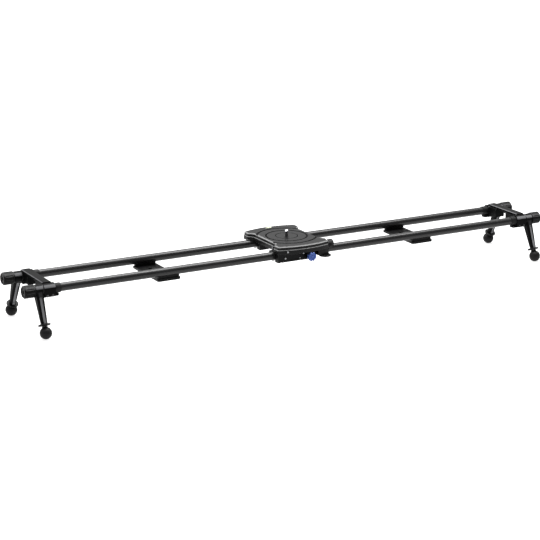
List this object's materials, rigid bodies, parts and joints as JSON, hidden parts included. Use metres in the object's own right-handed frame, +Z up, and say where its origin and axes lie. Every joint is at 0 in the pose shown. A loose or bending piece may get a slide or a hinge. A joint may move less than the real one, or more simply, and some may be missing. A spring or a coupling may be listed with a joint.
{
  "type": "camera slider",
  "caption": "Twin-tube camera slider with a roller carriage, camera stud, brake and drag knobs, cross braces, and splayed folding legs on ball feet.",
  "frame": {"origin": "on the floor, under the middle of the slider", "axes": "+X along the rails, -Y to the side with the brake knob, +Z up"},
  "size_m": [1.574, 0.2564, 0.16],
  "materials": {
    "carbon": "satin carbon-fibre tube",
    "machined": "black anodised",
    "casting": "black powder coat",
    "steel": "zinc plated",
    "bearing_steel": "polished",
    "rubber": "moulded",
    "nylon": "natural",
    "acetal": "matte",
    "blue_anodised": "blue anodised",
    "vial": "clear vial"
  },
  "bodies": {
    "frame": {"rail_front": "carbon", "rail_back": "carbon", "rail_plugs": "machined", "leg_clamp_studs": "steel", "friction_washers": "acetal", "rail_bumpers": "rubber", "rail_inserts": "machined", "bracket_screws": "steel", "end_bracket_left": "casting", "end_bracket_right": "casting", "brace_plate_left": "machined", "brace_plate_right": "machined", "brace_necks": "machined", "brace_screws": "steel"},
    "carriage": {"carriage_plate": "machined", "roller_blocks_front": "machined", "roller_blocks_back": "machined", "roller_block_screws": "steel", "roller_axles": "steel", "bubble_level": "vial", "drag_post": "machined", "lock_stud": "steel"},
    "leg_front_left": {"leg_front_left": "casting"},
    "foot_front_left": {"foot_ball_front_left": "rubber", "foot_stud_front_left": "steel"},
    "lock_disc_front_left": {"lock_disc_front_left": "machined"},
    "end_knob_front_left": {"end_knob_front_left": "machined"},
    "leg_front_right": {"leg_front_right": "casting"},
    "foot_front_right": {"foot_ball_front_right": "rubber", "foot_stud_front_right": "steel"},
    "lock_disc_front_right": {"lock_disc_front_right": "machined"},
    "end_knob_front_right": {"end_knob_front_right": "machined"},
    "leg_back_left": {"leg_back_left": "casting"},
    "foot_back_left": {"foot_ball_back_left": "rubber", "foot_stud_back_left": "steel"},
    "lock_disc_back_left": {"lock_disc_back_left": "machined"},
    "end_knob_back_left": {"end_knob_back_left": "machined"},
    "leg_back_right": {"leg_back_right": "casting"},
    "foot_back_right": {"foot_ball_back_right": "rubber", "foot_stud_back_right": "steel"},
    "lock_disc_back_right": {"lock_disc_back_right": "machined"},
    "end_knob_back_right": {"end_knob_back_right": "machined"},
    "rollers_top_left": {"rollers_top_left": "bearing_steel"},
    "roller_front_left_inner": {"roller_front_left_inner": "bearing_steel"},
    "roller_front_left_outer": {"roller_front_left_outer": "bearing_steel"},
    "roller_back_left_inner": {"roller_back_left_inner": "bearing_steel"},
    "roller_back_left_outer": {"roller_back_left_outer": "bearing_steel"},
    "rollers_top_right": {"rollers_top_right": "bearing_steel"},
    "roller_front_right_inner": {"roller_front_right_inner": "bearing_steel"},
    "roller_front_right_outer": {"roller_front_right_outer": "bearing_steel"},
    "roller_back_right_inner": {"roller_back_right_inner": "bearing_steel"},
    "roller_back_right_outer": {"roller_back_right_outer": "bearing_steel"},
    "camera_stud": {"camera_stud": "steel"},
    "brake_knob": {"brake_knob": "blue_anodised", "brake_collar": "machined", "brake_stud": "steel"},
    "brake_pad": {"brake_pad": "nylon"},
    "drag_knob": {"drag_knob": "machined"},
    "drag_pad": {"drag_pad": "nylon"},
    "lock_knob": {"lock_knob": "machined"}
  },
  "joints": [
    {"name": "carriage_slide", "type": "slide", "parent": "frame", "child": "carriage", "axis": [1, 0, 0], "range_m": [-0.606, 0.604]},
    {"name": "front_left_leg_swing", "type": "hinge", "parent": "frame", "child": "leg_front_left", "pos_m": [-0.747, -0.0685, 0.11405], "axis": [1, 0, 0], "range_deg": [-66, 24]},
    {"name": "front_left_foot_height", "type": "slide", "parent": "leg_front_left", "child": "foot_front_left", "axis": [0, -0.4091, -0.9125], "range_m": [0, 0.012]},
    {"name": "front_left_lock_disc_turn", "type": "hinge", "parent": "leg_front_left", "child": "lock_disc_front_left", "pos_m": [-0.747, -0.1045, 0.03375], "axis": [0, -0.4091, -0.9125], "continuous": true},
    {"name": "front_left_end_knob_turn", "type": "hinge", "parent": "frame", "child": "end_knob_front_left", "pos_m": [-0.77, -0.0685, 0.11405], "axis": [-1, 0, 0], "continuous": true},
    {"name": "front_right_leg_swing", "type": "hinge", "parent": "frame", "child": "leg_front_right", "pos_m": [0.747, -0.0685, 0.11405], "axis": [1, 0, 0], "range_deg": [-66, 24]},
    {"name": "front_right_foot_height", "type": "slide", "parent": "leg_front_right", "child": "foot_front_right", "axis": [0, -0.4091, -0.9125], "range_m": [0, 0.012]},
    {"name": "front_right_lock_disc_turn", "type": "hinge", "parent": "leg_front_right", "child": "lock_disc_front_right", "pos_m": [0.747, -0.1045, 0.03375], "axis": [0, -0.4091, -0.9125], "continuous": true},
    {"name": "front_right_end_knob_turn", "type": "hinge", "parent": "frame", "child": "end_knob_front_right", "pos_m": [0.77, -0.0685, 0.11405], "axis": [1, 0, 0], "continuous": true},
    {"name": "back_left_leg_swing", "type": "hinge", "parent": "frame", "child": "leg_back_left", "pos_m": [-0.747, 0.0685, 0.11405], "axis": [1, 0, 0], "range_deg": [-24, 66]},
    {"name": "back_left_foot_height", "type": "slide", "parent": "leg_back_left", "child": "foot_back_left", "axis": [0, 0.4091, -0.9125], "range_m": [0, 0.012]},
    {"name": "back_left_lock_disc_turn", "type": "hinge", "parent": "leg_back_left", "child": "lock_disc_back_left", "pos_m": [-0.747, 0.1045, 0.03375], "axis": [0, 0.4091, -0.9125], "continuous": true},
    {"name": "back_left_end_knob_turn", "type": "hinge", "parent": "frame", "child": "end_knob_back_left", "pos_m": [-0.77, 0.0685, 0.11405], "axis": [-1, 0, 0], "continuous": true},
    {"name": "back_right_leg_swing", "type": "hinge", "parent": "frame", "child": "leg_back_right", "pos_m": [0.747, 0.0685, 0.11405], "axis": [1, 0, 0], "range_deg": [-24, 66]},
    {"name": "back_right_foot_height", "type": "slide", "parent": "leg_back_right", "child": "foot_back_right", "axis": [0, 0.4091, -0.9125], "range_m": [0, 0.012]},
    {"name": "back_right_lock_disc_turn", "type": "hinge", "parent": "leg_back_right", "child": "lock_disc_back_right", "pos_m": [0.747, 0.1045, 0.03375], "axis": [0, 0.4091, -0.9125], "continuous": true},
    {"name": "back_right_end_knob_turn", "type": "hinge", "parent": "frame", "child": "end_knob_back_right", "pos_m": [0.77, 0.0685, 0.11405], "axis": [1, 0, 0], "continuous": true},
    {"name": "rollers_top_left_spin", "type": "hinge", "parent": "carriage", "child": "rollers_top_left", "pos_m": [-0.046, 0, 0.13165], "axis": [0, 1, 0], "continuous": true},
    {"name": "roller_front_left_inner_spin", "type": "hinge", "parent": "carriage", "child": "roller_front_left_inner", "pos_m": [-0.046, -0.05326, 0.10525], "axis": [0, -0.5, -0.866], "continuous": true},
    {"name": "roller_front_left_outer_spin", "type": "hinge", "parent": "carriage", "child": "roller_front_left_outer", "pos_m": [-0.046, -0.08374, 0.10525], "axis": [0, -0.5, 0.866], "continuous": true},
    {"name": "roller_back_left_inner_spin", "type": "hinge", "parent": "carriage", "child": "roller_back_left_inner", "pos_m": [-0.046, 0.05326, 0.10525], "axis": [0, -0.5, 0.866], "continuous": true},
    {"name": "roller_back_left_outer_spin", "type": "hinge", "parent": "carriage", "child": "roller_back_left_outer", "pos_m": [-0.046, 0.08374, 0.10525], "axis": [0, -0.5, -0.866], "continuous": true},
    {"name": "rollers_top_right_spin", "type": "hinge", "parent": "carriage", "child": "rollers_top_right", "pos_m": [0.0275, 0, 0.13165], "axis": [0, 1, 0], "continuous": true},
    {"name": "roller_front_right_inner_spin", "type": "hinge", "parent": "carriage", "child": "roller_front_right_inner", "pos_m": [0.0275, -0.05326, 0.10525], "axis": [0, -0.5, -0.866], "continuous": true},
    {"name": "roller_front_right_outer_spin", "type": "hinge", "parent": "carriage", "child": "roller_front_right_outer", "pos_m": [0.0275, -0.08374, 0.10525], "axis": [0, -0.5, 0.866], "continuous": true},
    {"name": "roller_back_right_inner_spin", "type": "hinge", "parent": "carriage", "child": "roller_back_right_inner", "pos_m": [0.0275, 0.05326, 0.10525], "axis": [0, -0.5, 0.866], "continuous": true},
    {"name": "roller_back_right_outer_spin", "type": "hinge", "parent": "carriage", "child": "roller_back_right_outer", "pos_m": [0.0275, 0.08374, 0.10525], "axis": [0, -0.5, -0.866], "continuous": true},
    {"name": "camera_stud_turn", "type": "hinge", "parent": "carriage", "child": "camera_stud", "pos_m": [0, 0, 0.14355], "axis": [0, 0, 1], "continuous": true},
    {"name": "brake_knob_turn", "type": "hinge", "parent": "carriage", "child": "brake_knob", "pos_m": [0.016, -0.1067, 0.10905], "axis": [0, 1, 0], "range_deg": [0, 360]},
    {"name": "brake_pad_press", "type": "slide", "parent": "carriage", "child": "brake_pad", "axis": [0, 1, 0], "range_m": [0, 0.0005]},
    {"name": "drag_knob_turn", "type": "hinge", "parent": "carriage", "child": "drag_knob", "pos_m": [0.065, -0.093, 0.10335], "axis": [0, 0, 1], "range_deg": [0, 270]},
    {"name": "drag_pad_press", "type": "slide", "parent": "carriage", "child": "drag_pad", "axis": [0, 1, 0], "range_m": [0, 0.0005]},
    {"name": "lock_knob_turn", "type": "hinge", "parent": "carriage", "child": "lock_knob", "pos_m": [0.0805, -0.088, 0.13235], "axis": [1, 0, 0], "range_deg": [0, 540]}
  ],
  "couplings": [
    {"joint": "rollers_top_left_spin", "follows": "carriage_slide", "rad_per_m": 153.85},
    {"joint": "roller_front_left_inner_spin", "follows": "carriage_slide", "rad_per_m": 153.85},
    {"joint": "roller_front_left_outer_spin", "follows": "carriage_slide", "rad_per_m": 153.85},
    {"joint": "roller_back_left_inner_spin", "follows": "carriage_slide", "rad_per_m": 153.85},
    {"joint": "roller_back_left_outer_spin", "follows": "carriage_slide", "rad_per_m": 153.85},
    {"joint": "rollers_top_right_spin", "follows": "carriage_slide", "rad_per_m": 153.85},
    {"joint": "roller_front_right_inner_spin", "follows": "carriage_slide", "rad_per_m": 153.85},
    {"joint": "roller_front_right_outer_spin", "follows": "carriage_slide", "rad_per_m": 153.85},
    {"joint": "roller_back_right_inner_spin", "follows": "carriage_slide", "rad_per_m": 153.85},
    {"joint": "roller_back_right_outer_spin", "follows": "carriage_slide", "rad_per_m": 153.85},
    {"joint": "brake_pad_press", "follows": "brake_knob_turn", "m_per_rad": 0.0000795},
    {"joint": "drag_pad_press", "follows": "drag_knob_turn", "m_per_rad": 0.000106}
  ]
}
